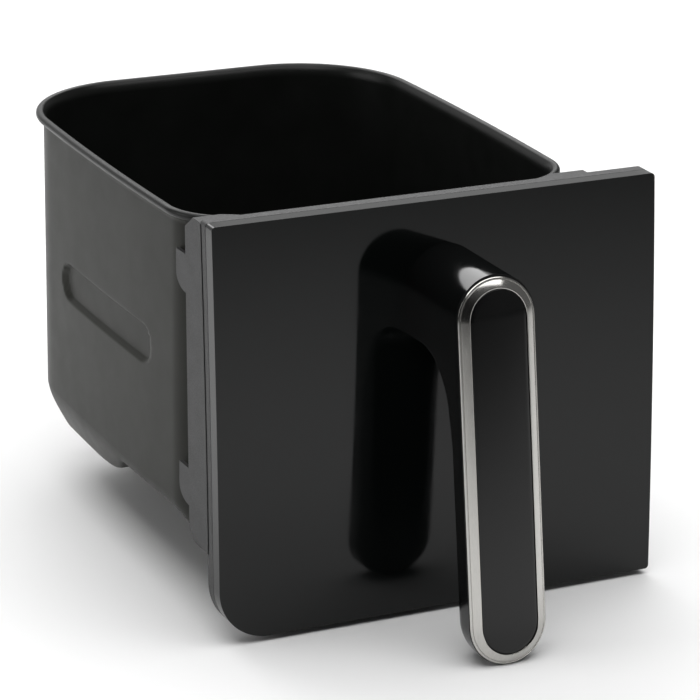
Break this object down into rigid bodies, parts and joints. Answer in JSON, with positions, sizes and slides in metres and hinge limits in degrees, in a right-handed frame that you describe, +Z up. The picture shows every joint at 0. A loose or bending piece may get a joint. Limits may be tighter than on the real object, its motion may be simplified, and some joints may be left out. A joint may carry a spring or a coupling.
{
  "type": "air fryer drawer",
  "caption": "Pull-out drawer of a two-drawer air fryer: coated pan with a rolled rim, gloss front panel, upright bar handle and a lift-out crisper plate.",
  "frame": {"origin": "middle of the underside of the bounding box, on the surface that the drawer stands on", "axes": "+Z up, -Y out of the front panel towards the user, +X to the user's right"},
  "size_m": [0.1934, 0.2904, 0.1681],
  "materials": {
    "nonstick": "dark grey-olive non-stick coating, satin",
    "plate_coating": "black non-stick coating, satin",
    "panel_gloss": "high gloss black",
    "frame_plastic": "black, fine matte",
    "handle_plastic": "black, high gloss",
    "trim_metal": "satin, fine brushed",
    "insert_gloss": "high gloss black inlay",
    "steel": "plated sheet and fasteners",
    "fibre": "pressed insulation felt",
    "silicone": "black silicone"
  },
  "bodies": {
    "drawer": {"pan": "nonstick", "pan_bracket": "steel", "bracket_screws": "steel", "heat_shield": "steel", "insulation_pad": "fibre", "panel_frame": "frame_plastic", "front_panel": "panel_gloss", "panel_screws": "steel", "handle_shell": "handle_plastic", "handle_core": "steel", "handle_carrier": "handle_plastic", "carrier_screws": "steel", "handle_trim_ring": "trim_metal", "handle_insert": "insert_gloss", "handle_bolts": "steel", "handle_washers": "steel"},
    "crisper": {"crisper_plate": "plate_coating", "crisper_bumper_1": "silicone", "crisper_bumper_2": "silicone", "crisper_bumper_3": "silicone", "crisper_bumper_4": "silicone"}
  },
  "joints": [
    {"name": "crisper_lift", "type": "slide", "parent": "drawer", "child": "crisper", "axis": [0, 0, 1], "range_m": [0, 0.13]}
  ]
}
